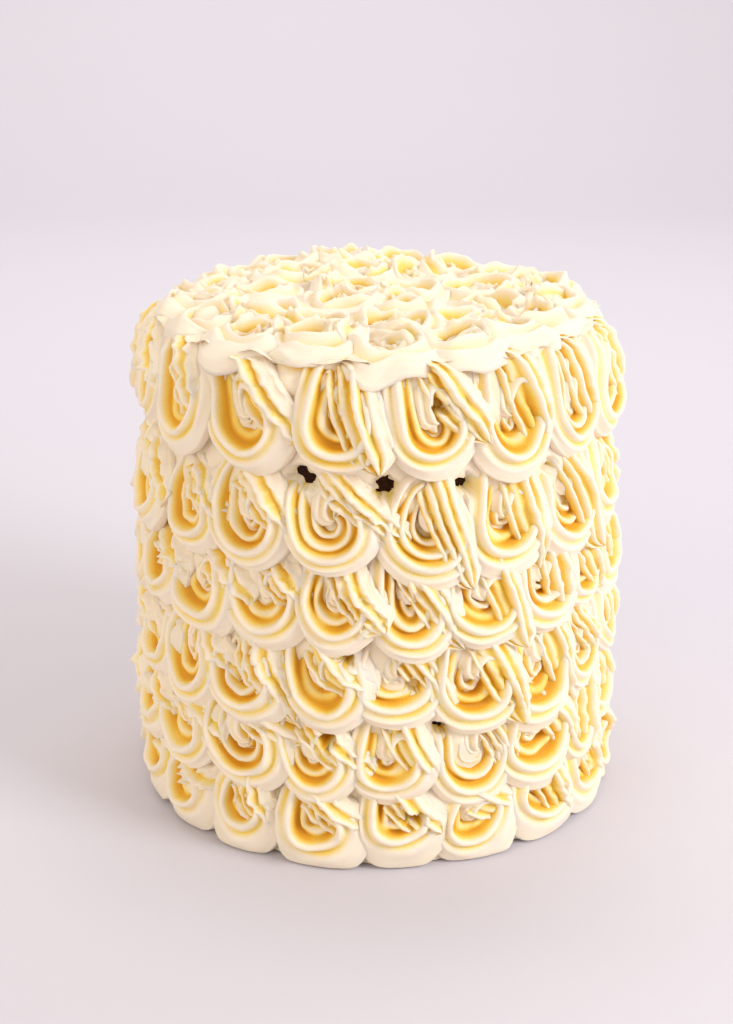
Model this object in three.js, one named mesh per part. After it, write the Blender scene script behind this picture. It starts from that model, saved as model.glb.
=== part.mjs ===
// A tall round buttercream cake, in millimetres, +Z up, origin at the centre of its base.
//
// A dark sponge runs through the whole cake. Rings of piped rosettes cover it like scales, three
// rings on the top and six on the side: each ring's scalloped skirt hangs over the ring outside or
// below it. A ring is one closed band of icing, a thin coat with its rosettes fused on, and a
// rosette is a rope of icing wound clockwise out of its centre.
import * as THREE from "three";
import { mergeVertices } from "three/addons/utils/BufferGeometryUtils.js";

const DEGREE = Math.PI / 180;
const TURN = 2 * Math.PI;
const UP = new THREE.Vector3(0, 0, 1);

// Sponge
const SPONGE_HEIGHT = 166;
const SPONGE_BASE_RADIUS = 79;
const SPONGE_TOP_RADIUS = 72.5;
const WALL_SIDES = 48; // flats round the sponge, and round the inner wall of each band

// Rings of rosettes, from the middle of the top out to its edge and down the side. `place` is how
// far the rosettes' centres are from the axis, on the top, or how high, on the side. `first` is
// the angle of one of them in degrees from the front, positive towards +X.
const RINGS = [
  { name: "rosettes_top_inner", onTop: true, place: 15, count: 4, first: 30, radius: 14 },
  { name: "rosettes_top_middle", onTop: true, place: 40.5, count: 10, first: 8, radius: 15 },
  { name: "rosettes_top_outer", onTop: true, place: 66, count: 17, first: 1, radius: 15.5 },
  { name: "rosettes_side_1", onTop: false, place: 154.5, count: 17, first: -9.5, radius: 17 },
  { name: "rosettes_side_2", onTop: false, place: 121, count: 18, first: -9.5, radius: 16 },
  { name: "rosettes_side_3", onTop: false, place: 94, count: 21, first: -10, radius: 15 },
  { name: "rosettes_side_4", onTop: false, place: 67, count: 20, first: 5, radius: 15 },
  { name: "rosettes_side_5", onTop: false, place: 40.5, count: 20, first: 4, radius: 15 },
  { name: "rosettes_side_6", onTop: false, place: 15.5, count: 20, first: 5, radius: 15 },
];

// Icing, as depths from the sponge
const CLEARANCE = 0.3; // between the sponge and the icing
const CUSP_DEPTH = 5; // where the skirts of two neighbours meet
const SKIRT_DEPTH = 8.6; // at the middle of a skirt's edge
const CREST_DEPTH = 11.6; // at the crest of a rope
const MIDDLE_LIFT = 1.2; // how much higher the crests stand in the middle of the top
const LEAN = 1.3; // how far a rosette's foot leans out and its head leans in
const BAND_GAP = 0.9; // between one ring's underside and the next ring, along the sponge
const APEX_DEPTH = 6; // where the rosettes in the middle of the top meet
const RIM_CUSP_HEIGHT = 172; // where the outer top ring's skirts meet, outside the top edge
const RIM_DROP = 5; // how much lower those skirts hang between their cusps
const RIM_OVERHANG = 1; // how much further out they reach than other skirts
const BASE_LIFT = 0.4; // the lowest ring hangs this far above what the sponge stands on

// A rosette's rope
const STEPS_PER_TURN = 9;
const ROPE_STEPS = 13; // nearly one turn and a half
const CREST_START = 0.17; // the crest's distance from the centre where the rope begins,
const CREST_END = 0.79; // and where it ends, as shares of the radius or of the room up to the border
const CREST_CURVE = 0.55; // below 1, the rope leaves the centre fast and then winds round it
const GROOVE_SHARE = 0.55; // the groove lies this share of the way out from the turn inside it
const FIRST_GROOVE = 3; // before this step there is only the hollow inside the crest
const GROOVE_DROP = 4.6; // depth of the groove below the crest
const HOLLOW_DROP = 6.4; // depth of the hollow at the centre
const SCALLOP_STEPS = 4; // stretches along one skirt's edge
const SEAM_SHARES = [1 / 3, 2 / 3]; // points along the seam between two neighbours

// Unevenness, as a hand leaves it
const ANGLE_WOBBLE = 0.05; // of the spacing
const PLACE_WOBBLE = 0.8;
const SIZE_WOBBLE = 0.04; // of the radius
const CREST_WOBBLE = 0.5;
const START_ANGLE = 100 * DEGREE;
const START_WOBBLE = 35 * DEGREE;

const CREAM = 0xf5e6c4;
const CHOCOLATE = 0x3a1d10;

// A repeatable number from -1 to 1 for one feature of one rosette.
function wobble(ring, index, feature) {
  const value = Math.sin(ring * 12.9898 + index * 78.233 + feature * 37.719) * 43758.5453;
  return 2 * (value - Math.floor(value)) - 1;
}

const mod = (value, span) => ((value % span) + span) % span;
const mix = (a, b, share) => a + (b - a) * share;

// A point at an angle from the front (-Y), positive towards +X, at a distance from the axis.
function polar(angle, radius, height) {
  return new THREE.Vector3(radius * Math.sin(angle), -radius * Math.cos(angle), height);
}

function spongeRadius(height) {
  return mix(SPONGE_BASE_RADIUS, SPONGE_TOP_RADIUS, Math.min(height / SPONGE_HEIGHT, 1));
}

// The two faces of the sponge that carry icing. `at` gives the point at an angle, a place and a
// depth of icing, and `skirtWay` says which way along `place` a skirt hangs. In a rosette's own
// frame u runs round the cake to the right, v away from its skirt, and w out of the sponge.
const side = {
  skirtWay: -1,
  at: (angle, height, depth) => polar(angle, spongeRadius(height) + depth, height),
  toLocal({ angle, place }, point) {
    const across = mod(Math.atan2(point.x, -point.y) - angle + Math.PI, TURN) - Math.PI;
    return [across * (spongeRadius(place) + SKIRT_DEPTH), point.z - place];
  },
  fromLocal({ angle, place }, u, v, w) {
    return side.at(angle + u / (spongeRadius(place) + SKIRT_DEPTH), place + v, w);
  },
};
const top = {
  skirtWay: 1,
  at: (angle, reach, depth) => polar(angle, reach, SPONGE_HEIGHT + depth),
  toLocal({ angle, place }, point) {
    const turned = point.clone().applyAxisAngle(UP, -angle);
    return [turned.x, turned.y + place];
  },
  fromLocal({ angle, place }, u, v, w) {
    return new THREE.Vector3(u, v - place, SPONGE_HEIGHT + w).applyAxisAngle(UP, angle);
  },
};

// Joins two rows of points by a strip of triangles. Seen from outside, both rows run to the right
// and the far row is above the near one. A row's turns say how far along each of its points is.
function zip(near, far) {
  const triangles = [];
  let [i, j] = [0, 0];
  while (i < near.points.length - 1 || j < far.points.length - 1) {
    const nearNext = i < near.points.length - 1 ? near.turns[i] + near.turns[i + 1] : Infinity;
    const farNext = j < far.points.length - 1 ? far.turns[j] + far.turns[j + 1] : Infinity;
    if (nearNext <= farNext) {
      triangles.push([near.points[i], near.points[i + 1], far.points[j]]);
      i += 1;
    } else {
      triangles.push([near.points[i], far.points[j + 1], far.points[j]]);
      j += 1;
    }
  }
  return triangles;
}

// A closed ring of points round the cake, from their angles, begun at the smallest.
function ringOf(angles, points) {
  const order = points.map((point, k) => ({ point, turn: mod(angles[k], TURN) }));
  order.sort((a, b) => a.turn - b.turn);
  return {
    points: [...order.map(({ point }) => point), order[0].point],
    turns: [...order.map(({ turn }) => turn), order[0].turn + TURN],
  };
}

// The border's corners in order of their turn, clockwise from the angle where the rope ends.
function cornersFrom(surface, rosette, border, endAngle) {
  const corners = border.map((point) => {
    const [u, v] = surface.toLocal(rosette, point);
    return { point, turn: mod(endAngle - Math.atan2(v, u), TURN), reach: Math.hypot(u, v) };
  });
  const first = corners.reduce((best, { turn }, k) => (turn < corners[best].turn ? k : best), 0);
  const ordered = [...corners.slice(first), ...corners.slice(0, first)];
  ordered.slice(1).forEach((corner, k) => {
    corner.turn = Math.max(corner.turn, ordered[k].turn);
  });
  return ordered;
}

// How far from the rosette's centre the border is, in the direction `turn`.
function borderReach(corners, turn) {
  const found = corners.findIndex((corner) => corner.turn > turn);
  const next = Math.max(found, 0);
  const [before, after] = [corners[mod(next - 1, corners.length)], corners[next]];
  const span = mod(after.turn - before.turn, TURN);
  return mix(before.reach, after.reach, span > 0 ? mod(turn - before.turn, TURN) / span : 0);
}

// One rosette, filling the cell inside a border that runs clockwise as seen from outside.
function rosetteTriangles(surface, rosette, border) {
  const step = TURN / STEPS_PER_TURN;
  const endAngle = rosette.startAngle - ROPE_STEPS * step;
  const corners = cornersFrom(surface, rosette, border, endAngle);
  const shareAt = (k) => mix(CREST_START, CREST_END, (k / ROPE_STEPS) ** CREST_CURVE);
  const pointAt = (k, share, drop) => {
    const room = borderReach(corners, mod((k - ROPE_STEPS) * step, TURN));
    const reach = share * Math.min(room, rosette.radius);
    const angle = rosette.startAngle - k * step;
    const [u, v] = [reach * Math.cos(angle), reach * Math.sin(angle)];
    return surface.fromLocal(rosette, u, v, rosette.crest - drop - LEAN * v / rosette.radius);
  };
  const steps = Array.from({ length: ROPE_STEPS + 1 }, (_, k) => k);
  const crest = steps.map((k) => pointAt(k, shareAt(k), 0));
  const groove = steps.map((k) => {
    const inside = k < STEPS_PER_TURN ? 0 : shareAt(k - STEPS_PER_TURN);
    return pointAt(k, mix(inside, shareAt(k), GROOVE_SHARE), GROOVE_DROP);
  });
  const hollow = pointAt(0, 0, HOLLOW_DROP);

  // The hollow inside the first turn
  const rim = [...crest.slice(0, FIRST_GROOVE), ...groove.slice(FIRST_GROOVE, STEPS_PER_TURN + 1), crest[0]];
  const triangles = rim.slice(1).map((next, k) => [hollow, next, rim[k]]);
  triangles.push([crest[FIRST_GROOVE - 1], groove[FIRST_GROOVE], crest[FIRST_GROOVE]]);

  // From the crest down to the groove on its inside, and from there up to the turn before
  for (let k = FIRST_GROOVE; k < ROPE_STEPS; k += 1) {
    triangles.push([crest[k], groove[k], groove[k + 1]], [crest[k], groove[k + 1], crest[k + 1]]);
  }
  for (let k = STEPS_PER_TURN; k < ROPE_STEPS; k += 1) {
    const [a, b] = [crest[k - STEPS_PER_TURN], crest[k - STEPS_PER_TURN + 1]];
    triangles.push([groove[k], a, b], [groove[k], b, groove[k + 1]]);
  }

  // From the last turn out to the border
  const lastTurn = crest.slice(ROPE_STEPS - STEPS_PER_TURN);
  const loop = [...lastTurn, groove[ROPE_STEPS], lastTurn[0]];
  const rope = { points: loop, turns: loop.map((_, k) => Math.min(k * step, TURN)) };
  const outside = {
    points: [...corners.map(({ point }) => point), corners[0].point],
    turns: [...corners.map(({ turn }) => turn), corners[0].turn + TURN],
  };
  triangles.push(...zip(rope, outside));
  return triangles;
}

// Where each rosette of a ring sits, in rising order of angle.
function rosettesOf(ring, number) {
  const spacing = TURN / ring.count;
  const lift = ring.onTop ? MIDDLE_LIFT * (1 - ring.place / SPONGE_TOP_RADIUS) : 0;
  return Array.from({ length: ring.count }, (_, k) => ({
    angle: ring.first * DEGREE + spacing * (k + ANGLE_WOBBLE * wobble(number, k, 1)),
    place: ring.place + PLACE_WOBBLE * wobble(number, k, 2),
    radius: ring.radius * (1 + SIZE_WOBBLE * wobble(number, k, 3)),
    crest: CREST_DEPTH + lift + CREST_WOBBLE * wobble(number, k, 4),
    startAngle: START_ANGLE + START_WOBBLE * wobble(number, k, 5),
  }));
}

// The angle of the seam on the left of each rosette.
function seamsOf(rosettes) {
  return rosettes.map(({ angle }, k) => {
    const before = rosettes[mod(k - 1, rosettes.length)];
    return angle - mod(angle - before.angle, TURN) / 2;
  });
}

// The edge where one ring's skirts hang over the next ring: `over` on the ring that hangs, `under`
// on the next one. Each has a lip, outside, and a wall against the sponge.
function edgeOf(surface, places, wallPlace) {
  const wallAngles = Array.from({ length: WALL_SIDES }, (_, k) => k * TURN / WALL_SIDES);
  const shifted = (shift) => ({
    lip: places.map(({ angle, place, depth }) => surface.at(angle, place + shift, depth)),
    wall: ringOf(wallAngles, wallAngles.map((angle) => surface.at(angle, wallPlace + shift, CLEARANCE))),
  });
  return {
    angles: places.map(({ angle }) => angle),
    over: shifted(0),
    under: shifted(surface.skirtWay * BAND_GAP),
  };
}

// Places along a ring's skirts, from each cusp to the next. `placeAt` gives the place and depth
// from the rosette, the angle across from its centre, and a fullness that is 0 at the cusps and 1
// halfway between them.
function skirtPlaces(rosettes, placeAt) {
  const seams = seamsOf(rosettes);
  return rosettes.flatMap((rosette, k) => {
    const width = mod(seams[mod(k + 1, seams.length)] - seams[k], TURN);
    return Array.from({ length: SCALLOP_STEPS }, (_, step) => {
      const angle = seams[k] + width * step / SCALLOP_STEPS;
      const fullness = Math.sin(Math.PI * step / SCALLOP_STEPS);
      return { angle, ...placeAt(rosette, angle - rosette.angle, fullness) };
    });
  });
}

// The skirts of an ordinary ring: arcs round the rosettes' centres.
function scallopedEdge(ring, rosettes) {
  const surface = ring.onTop ? top : side;
  const distance = ring.onTop ? ring.place : spongeRadius(ring.place) + SKIRT_DEPTH;
  const places = skirtPlaces(rosettes, (rosette, across, fullness) => {
    const fall = Math.sqrt(Math.max(rosette.radius ** 2 - (across * distance) ** 2, 0));
    return {
      place: rosette.place + surface.skirtWay * fall,
      depth: mix(CUSP_DEPTH, SKIRT_DEPTH, fullness),
    };
  });
  const inmost = Math.min(...places.map(({ place }) => surface.skirtWay * place));
  return edgeOf(surface, places, surface.skirtWay * (inmost - CLEARANCE));
}

// The skirts that hang over the top edge of the sponge.
function rimEdge(rosettes) {
  const places = skirtPlaces(rosettes, (rosette, across, fullness) => ({
    place: RIM_CUSP_HEIGHT - RIM_DROP * fullness,
    depth: RIM_OVERHANG + mix(CUSP_DEPTH, SKIRT_DEPTH, fullness),
  }));
  return edgeOf(side, places, SPONGE_HEIGHT + CLEARANCE);
}

// The skirts that stand round the foot of the cake.
function footEdge(rosettes) {
  const places = skirtPlaces(rosettes, (rosette, across, fullness) => ({
    place: BASE_LIFT,
    depth: mix(CUSP_DEPTH, SKIRT_DEPTH + LEAN, fullness),
  }));
  return edgeOf(side, places, BASE_LIFT);
}

// The point in the middle of the top where the rosettes of the innermost ring meet.
function apexEdge(rosettes) {
  const places = seamsOf(rosettes).map((angle) => ({ angle, place: 0, depth: APEX_DEPTH }));
  const edge = edgeOf(top, places, 0);
  return { ...edge, under: edge.over };
}

// One band of icing, between its own skirts and the edge that hangs over it.
function bandTriangles(surface, rosettes, skirts, cover) {
  const seams = seamsOf(rosettes);
  const [foot, head] = [skirts.over.lip, cover.under.lip];
  const cusps = seams.map((_, k) => foot[SCALLOP_STEPS * k]);
  const corners = seams.map((seam) => {
    const gaps = cover.angles.map((angle) => Math.abs(mod(angle - seam + Math.PI, TURN) - Math.PI));
    return gaps.indexOf(Math.min(...gaps));
  });
  const seamPoints = cusps.map((cusp, k) => (
    SEAM_SHARES.map((share) => cusp.clone().lerp(head[corners[k]], share))
  ));
  const patches = rosettes.flatMap((rosette, k) => {
    const next = mod(k + 1, rosettes.length);
    const headSteps = 1 + mod(corners[next] - corners[k], head.length);
    const headPoints = Array.from({ length: headSteps }, (_, step) => head[mod(corners[k] + step, head.length)]);
    const footPoints = foot.slice(SCALLOP_STEPS * k, SCALLOP_STEPS * (k + 1));
    const border = [
      ...headPoints,
      ...seamPoints[next].toReversed(),
      cusps[next],
      ...footPoints.toReversed(),
      ...seamPoints[k],
    ];
    return rosetteTriangles(surface, rosette, border);
  });
  return [
    ...patches,
    ...zip(ringOf(cover.angles, head), cover.under.wall),
    ...zip(cover.under.wall, skirts.over.wall),
    ...zip(skirts.over.wall, ringOf(skirts.angles, foot)),
  ];
}

function meshOf(name, triangles) {
  const solid = triangles.filter(([a, b, c]) => !a.equals(b) && !b.equals(c) && !c.equals(a));
  const corners = solid.flatMap((triangle) => triangle.flatMap((point) => point.toArray()));
  const soup = new THREE.BufferGeometry();
  soup.setAttribute("position", new THREE.Float32BufferAttribute(corners, 3));
  const icing = new THREE.MeshStandardMaterial({ color: CREAM, roughness: 0.55, flatShading: true });
  const mesh = new THREE.Mesh(mergeVertices(soup, 1e-3), icing);
  mesh.name = name;
  return mesh;
}

function makeSponge() {
  const shape = new THREE.CylinderGeometry(SPONGE_TOP_RADIUS, SPONGE_BASE_RADIUS, SPONGE_HEIGHT, WALL_SIDES);
  const sponge = new THREE.Mesh(shape, new THREE.MeshStandardMaterial({ color: CHOCOLATE, roughness: 0.9 }));
  sponge.name = "sponge";
  sponge.rotation.x = Math.PI / 2;
  sponge.position.z = SPONGE_HEIGHT / 2;
  return sponge;
}

const cake = new THREE.Group();
cake.add(makeSponge());
const rosettes = RINGS.map(rosettesOf);
const rimRing = RINGS.findLastIndex((ring) => ring.onTop);
const footRing = RINGS.length - 1;
const skirts = RINGS.map((ring, k) => {
  if (k === rimRing) return rimEdge(rosettes[k]);
  if (k === footRing) return footEdge(rosettes[k]);
  return scallopedEdge(ring, rosettes[k]);
});
RINGS.forEach((ring, k) => {
  const cover = k === 0 ? apexEdge(rosettes[k]) : skirts[k - 1];
  const triangles = bandTriangles(ring.onTop ? top : side, rosettes[k], skirts[k], cover);
  cake.add(meshOf(ring.name, triangles));
});

export default cake;
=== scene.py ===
"""Looks of a tall buttercream cake: a dark sponge under overlapping rings of piped rosettes.

Sizes are in millimetres in the recipes below and in metres in Blender. A rosette is worked out in
a frame of its own: u runs to its right, v up to its head and w out of the cake.
"""

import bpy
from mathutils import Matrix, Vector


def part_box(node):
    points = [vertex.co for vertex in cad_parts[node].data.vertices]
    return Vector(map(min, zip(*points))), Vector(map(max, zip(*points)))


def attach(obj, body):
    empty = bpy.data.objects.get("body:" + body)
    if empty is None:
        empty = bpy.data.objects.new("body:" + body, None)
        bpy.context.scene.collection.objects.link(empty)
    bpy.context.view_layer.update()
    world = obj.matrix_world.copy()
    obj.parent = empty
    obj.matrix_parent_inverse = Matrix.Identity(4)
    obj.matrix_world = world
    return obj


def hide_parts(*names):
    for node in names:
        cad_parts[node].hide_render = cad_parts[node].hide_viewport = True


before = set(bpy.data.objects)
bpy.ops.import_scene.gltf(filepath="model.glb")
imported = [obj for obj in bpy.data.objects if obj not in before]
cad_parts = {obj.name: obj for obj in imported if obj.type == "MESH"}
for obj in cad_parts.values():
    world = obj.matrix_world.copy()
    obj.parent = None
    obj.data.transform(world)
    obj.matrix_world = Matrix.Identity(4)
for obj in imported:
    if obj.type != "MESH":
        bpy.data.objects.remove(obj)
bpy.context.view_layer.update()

import math
from typing import NamedTuple

import bpy
import numpy as np

bl_info = {
    "name": "Rosette Buttercream Cake",
    "version": (1, 0, 0),
    "blender": (4, 5, 0),
    "location": "3D View > Sidebar > Cake",
    "description": "Pipes buttercream rosettes over a sponge cake",
    "category": "Object",
}

MM = 0.001
TURN = 2 * math.pi
SPONGE_BOX = [[value / MM for value in corner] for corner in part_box("sponge")]
SPONGE_HEIGHT = SPONGE_BOX[1][2]
SPONGE_BASE_RADIUS = SPONGE_BOX[1][0]


# --- Settings that a user would change ---

class CakeSizes(bpy.types.PropertyGroup):
    """Sizes of the piping, in metres."""
    sponge_top_radius: bpy.props.FloatProperty(
        name="Sponge top radius",
        description="Radius of the sponge at its top edge",
        default=0.0725,
        unit="LENGTH",
    )
    crest_depth: bpy.props.FloatProperty(
        name="Crest depth",
        description="How far a rope's crest stands out of the sponge",
        default=0.0108,
        unit="LENGTH",
    )
    coat_depth: bpy.props.FloatProperty(
        name="Coat depth",
        description="Thickness of the plain coat of icing under the rosettes",
        default=0.0044,
        unit="LENGTH",
    )
    rope_radius: bpy.props.FloatProperty(
        name="Rope radius",
        description="Radius of the piped rope at its ridges",
        default=0.0072,
        unit="LENGTH",
    )
    loop_radius: bpy.props.FloatProperty(
        name="Loop radius",
        description="Radius of the loop that the rope makes round a rosette",
        default=0.0096,
        unit="LENGTH",
    )
    floor_lift: bpy.props.FloatProperty(
        name="Lift off the floor",
        description="Height of the lowest icing above the surface that the cake stands on",
        default=0.0004,
        unit="LENGTH",
    )


class CakeColours(bpy.types.PropertyGroup):
    """Colours of the cake and its stage."""
    cream: bpy.props.FloatVectorProperty(
        name="Cream",
        description="Buttercream on the crests of the ropes",
        default=(0.965, 0.835, 0.70),
        subtype="COLOR",
    )
    # Painted shade: the deeper yellow that stands in for the shade and warm bounce light down in the
    # grooves.
    painted_groove_shade: bpy.props.FloatVectorProperty(
        name="Butter",
        description="Buttercream down in the grooves",
        default=(0.97, 0.715, 0.18),
        subtype="COLOR",
    )
    # Painted shade: a darker amber for the shade in the deep hollows.
    painted_hollow_shade: bpy.props.FloatVectorProperty(
        name="Amber",
        description="Buttercream in the deep hollows",
        default=(0.88, 0.46, 0.02),
        subtype="COLOR",
    )
    # Painted shade: the darkest tone, for the shade at the bottom of the deepest hollows.
    painted_deepest_shade: bpy.props.FloatVectorProperty(
        name="Toffee",
        description="Buttercream at the bottom of the deepest hollows",
        default=(0.76, 0.34, 0.01),
        subtype="COLOR",
    )
    crumb: bpy.props.FloatVectorProperty(
        name="Crumb",
        description="Chocolate sponge",
        default=(0.026, 0.009, 0.005),
        subtype="COLOR",
    )
    floor: bpy.props.FloatVectorProperty(
        name="Floor",
        description="The plain floor and wall of the stage",
        default=(0.63, 0.60, 0.655),
        subtype="COLOR",
    )


# --- How the rings are laid out and piped ---

# Ranges for the shape of a plain rosette on the side, in the order in which they are drawn.
PLAIN_SHAPE = {
    "bend": (0.2, 1.1),  # how far the tail heads straight on before it turns, in loop radii
    "tail_out": (1.2, 1.75),  # where the tail ends, in loop radii to the right
    "tail_up": (-1.8, -1.0),  # and upwards
    "turned": (-18, 16),  # degrees
    "stretch": (0.92, 1.32),  # height of the loop over its width
}
TOP_SHAPE = {
    "bend": (0.6, 1.1),
    "tail_out": (0.7, 1.4),
    "tail_up": (-0.6, 0.6),
    "turned": (-180, 180),
    "stretch": (0.95, 1.2),
}
RIM_SHAPE = {**TOP_SHAPE, "tail_up": (-1.2, 0.1), "turned": (-35, 35), "stretch": (0.88, 0.98)}


class Manner(NamedTuple):
    """How one kind of ring is piped. A pair holds the ends of a random range."""
    plain: dict  # ranges for the rosettes' shape, drawn first
    own: dict  # ranges that are drawn next and take the place of some of them
    open: float | tuple = (0.5, 0.9)  # how much further the loop reaches up than down
    skirt: float | tuple = (-0.15, 0.2)  # how far the foot of the loop spreads
    torn: float | tuple = (0.1, 0.6)  # how ragged the tail is
    peak: float | tuple = (-9, 6)  # how far the tail's tip is pulled out, and not at all below 0
    wide: float = 1.0  # share of the usual loop radius
    thick: float = 1.08  # share of the usual rope radius
    raised: float = 0.0  # away from the ring's place
    shifted: float = 1.0  # at random, either way
    crest: float = 0.0  # added to the crest depth
    lean: float = 2.0  # how far the foot comes out over LEAN_LENGTH
    tuck: float = 0.36  # slope of the head into the cake
    messy_turn: float = 24.0  # degrees, where the piping is messiest
    messy_tail: tuple = (0.5, 0.3)  # added to the tail's end in the messy part
    messy_torn: float = 0.5


TOP = Manner(
    PLAIN_SHAPE, TOP_SHAPE, open=0.0, torn=(0.3, 0.9), peak=(0, 2.6), thick=1.2, crest=1.4,
    lean=0.0, tuck=0.1, messy_turn=0.0, messy_tail=(0, 0), messy_torn=0.0,
)
TOP_RIM = TOP._replace(own=RIM_SHAPE, skirt=(-0.05, 0.3), raised=-5.4)
HIGHEST = Manner(
    PLAIN_SHAPE, {"stretch": (1.2, 1.35)}, open=(1.0, 1.4), wide=0.9, tuck=0.0, messy_tail=(0, 0),
)
SECOND = Manner({**PLAIN_SHAPE, "stretch": (1.1, 1.3)}, {}, thick=1.0, tuck=0.3)
MIDDLE = Manner(PLAIN_SHAPE, {}, wide=1.06, shifted=2.0)
LOWEST = Manner(PLAIN_SHAPE, {"stretch": (0.82, 0.95)}, skirt=0.5, wide=0.84, raised=1.8)


class Ring(NamedTuple):
    """A ring of rosettes. Place is their centres' height, or on the top their distance from the axis."""
    node: str
    on_top: bool
    manner: Manner
    place: float
    count: int
    first: float  # the angle of one of them in degrees from the front, positive to the right
    radius: float  # of one rosette


RINGS = (
    Ring("rosettes_top_inner", True, TOP, 15, 4, 30, 14),
    Ring("rosettes_top_middle", True, TOP, 40.5, 10, 8, 15),
    Ring("rosettes_top_outer", True, TOP_RIM, 66, 17, 1, 15.5),
    Ring("rosettes_side_1", False, HIGHEST, 154.5, 17, -9.5, 17),
    Ring("rosettes_side_2", False, SECOND, 121, 18, -9.5, 16),
    Ring("rosettes_side_3", False, MIDDLE, 94, 21, -10, 15),
    Ring("rosettes_side_4", False, MIDDLE, 67, 20, 5, 15),
    Ring("rosettes_side_5", False, MIDDLE, 40.5, 20, 4, 15),
    Ring("rosettes_side_6", False, LOWEST, 15.5, 20, 5, 15),
)
USUAL_RADIUS = 15.5  # of a rosette with the usual rope and loop
MESSY_FROM = 0.55  # share of the mess, most on the left, from which tails run further
SEEDS_PER_RING = 1000

# Unevenness that the solids have too.
UNEVEN_SIZE = 0.05  # share of a rosette's size
UNEVEN_ANGLE = 0.05  # share of the way to the next rosette
UNEVEN_PLACE = 0.8

# Random ranges for every ring.
ANGLE_SPAN = (-0.03, 0.03)  # share of the way to the next rosette
PLACE_SPAN = (-1, 1)
ROPE_SPAN = (0.88, 1.12)  # share of the usual radius
LOOP_SPAN = (0.87, 1.1)
CREST_SPAN = (-1, 1)
CURL_SPAN = (0.2, 0.45)


class Gap(NamedTuple):
    """A gap in the icing where the dark sponge shows, as painted shade for a shaded hole between the
    ropes.
    """
    angle: float  # degrees from the front, positive to the right
    height: float
    reach: float  # sideways, from its middle to halfway up its edge


# Painted shade: the dark sponge is shown through the icing where there are shaded holes between the
# ropes.
GAPS = (
    Gap(-17.3, 134.8, 4.4),
    Gap(2.2, 132.8, 4.2),
    Gap(21.5, 132.6, 3.3),
    Gap(46.0, 132.0, 3.0),
    Gap(15.6, 49.0, 3.0),
    Gap(8.7, 19.5, 2.6),
    Gap(-6.4, 76.5, 2.4),
    Gap(8.8, 65.5, 2.2),
    Gap(14.2, 159.0, 2.4),
    Gap(-10.6, 47.5, 2.0),
)
GAP_FLATNESS = 1.3  # width of a gap over its height
GAP_DEPTH = -1.5  # depth of the icing over the sponge in a gap, where it lies inside the sponge
GAP_EDGE = (0.22, 3)  # strength and size of the waves along its edge
GAP_BOTTOM = 0.6  # share of its reach up to which it is bare
GAP_SLOPE = 0.8  # share of its reach over which the icing rises again
GAP_SEED = 7

# The icing on the top is piped a little higher towards the back.
MOUND_PLACE = (-20, 50)
MOUND_SPREAD = 26
MOUND_HEIGHT = 3.4

# --- Icing wrapped round the sponge ---

ICING_RADIUS = 84  # from the axis to the icing of the side
WRAP_DEPTH = 8.6  # depth over the sponge at which the widths of a rosette are true
FLOOR_SOFTNESS = 2  # icing that would sink below the floor is pressed flat within this height
EDGE_ROOM = 7  # icing of the side reaches at most this far over the top edge
EDGE_START = 1  # above the top edge, where it starts to be held back
EDGE_INWARD = 0.25  # how far it moves in for each millimetre that it reaches over the edge
SHOULDER_START = -8  # from the top edge, where the icing of the side starts to curve in
SHOULDER_CURVE = 0.012
DROOP_START = 1  # past the sponge's top edge, where the icing of the top starts to droop
DROOP_CURVE = 0.06
STEEP_DROOP_START = 8
STEEP_DROOP_CURVE = 0.2

COAT_WAVES = ((0.15, 14), (0.06, 4))  # strength and size of the coat's unevenness
COAT_ON_TOP = 1.5  # times the thickness on the side
COAT_SHOULDER_START = -2  # from the top edge, where the coat of the side starts to curve in
COAT_SHOULDER_CURVE = 0.1
COAT_SEED_TOP = 5
COAT_SEED_SIDE = 6
COAT_COLUMNS_TOP = 200
COAT_COLUMNS_SIDE = 330
COAT_ROW_TOP = 2  # distance between two rows of points
COAT_ROW_SIDE = 1.3
COAT_TOP_REACH = 77  # from the axis to the outer edge of the coat on the top
COAT_OVER_EDGE = 5  # the coat of the side reaches this far over the top edge
COAT_FOOT = 0.5  # height of its lower edge
SEAM_IN_TOP = 3  # a seam on the top lies this far within its ring's outer edge
SEAM_IN_SIDE = 4  # and on the side this far above its ring's lower edge

COAT_HOLLOW = 0.35  # the coat gets painted shade as if it were this deep in a groove
LESS_PAINTED_SHADE_ON_TOP = 0.6  # a groove on the top gets painted shade as if it had this share of its depth, so the top is painted paler

CRUMB_WAVES = ((0.25, 5), (0.2, 2.4))  # strength and size of the pits in the sponge
CRUMB_WAVE_COUNT = 24
CRUMB_LEVEL = 0.5  # how deep the crumb is on average, in crumb depths
CRUMB_DEEPEST = 1.5
CRUMB_DEPTH = 0.8
CRUMB_SEED = 3
SPONGE_COLUMNS = 180
SPONGE_ROWS = 60
SPONGE_TOP_GAP = 0.2  # the sponge stays this far under its full height


def mix(a, b, share):
    return a + (b - a) * share


def smooth(share):
    """Eases a share from 0 to 1."""
    share = np.clip(share, 0.0, 1.0)
    return share * share * (3 - 2 * share)


def draw(rng, span):
    """A random number within a pair, or a plain number as it is."""
    return rng.uniform(*span) if isinstance(span, tuple) else span


def wobble(ring, index, feature):
    """A repeatable number from -1 to 1 for one feature of one rosette, as in the solids."""
    value = math.sin(ring * 12.9898 + index * 78.233 + feature * 37.719) * 43758.5453
    return 2 * (value - math.floor(value)) - 1


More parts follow.
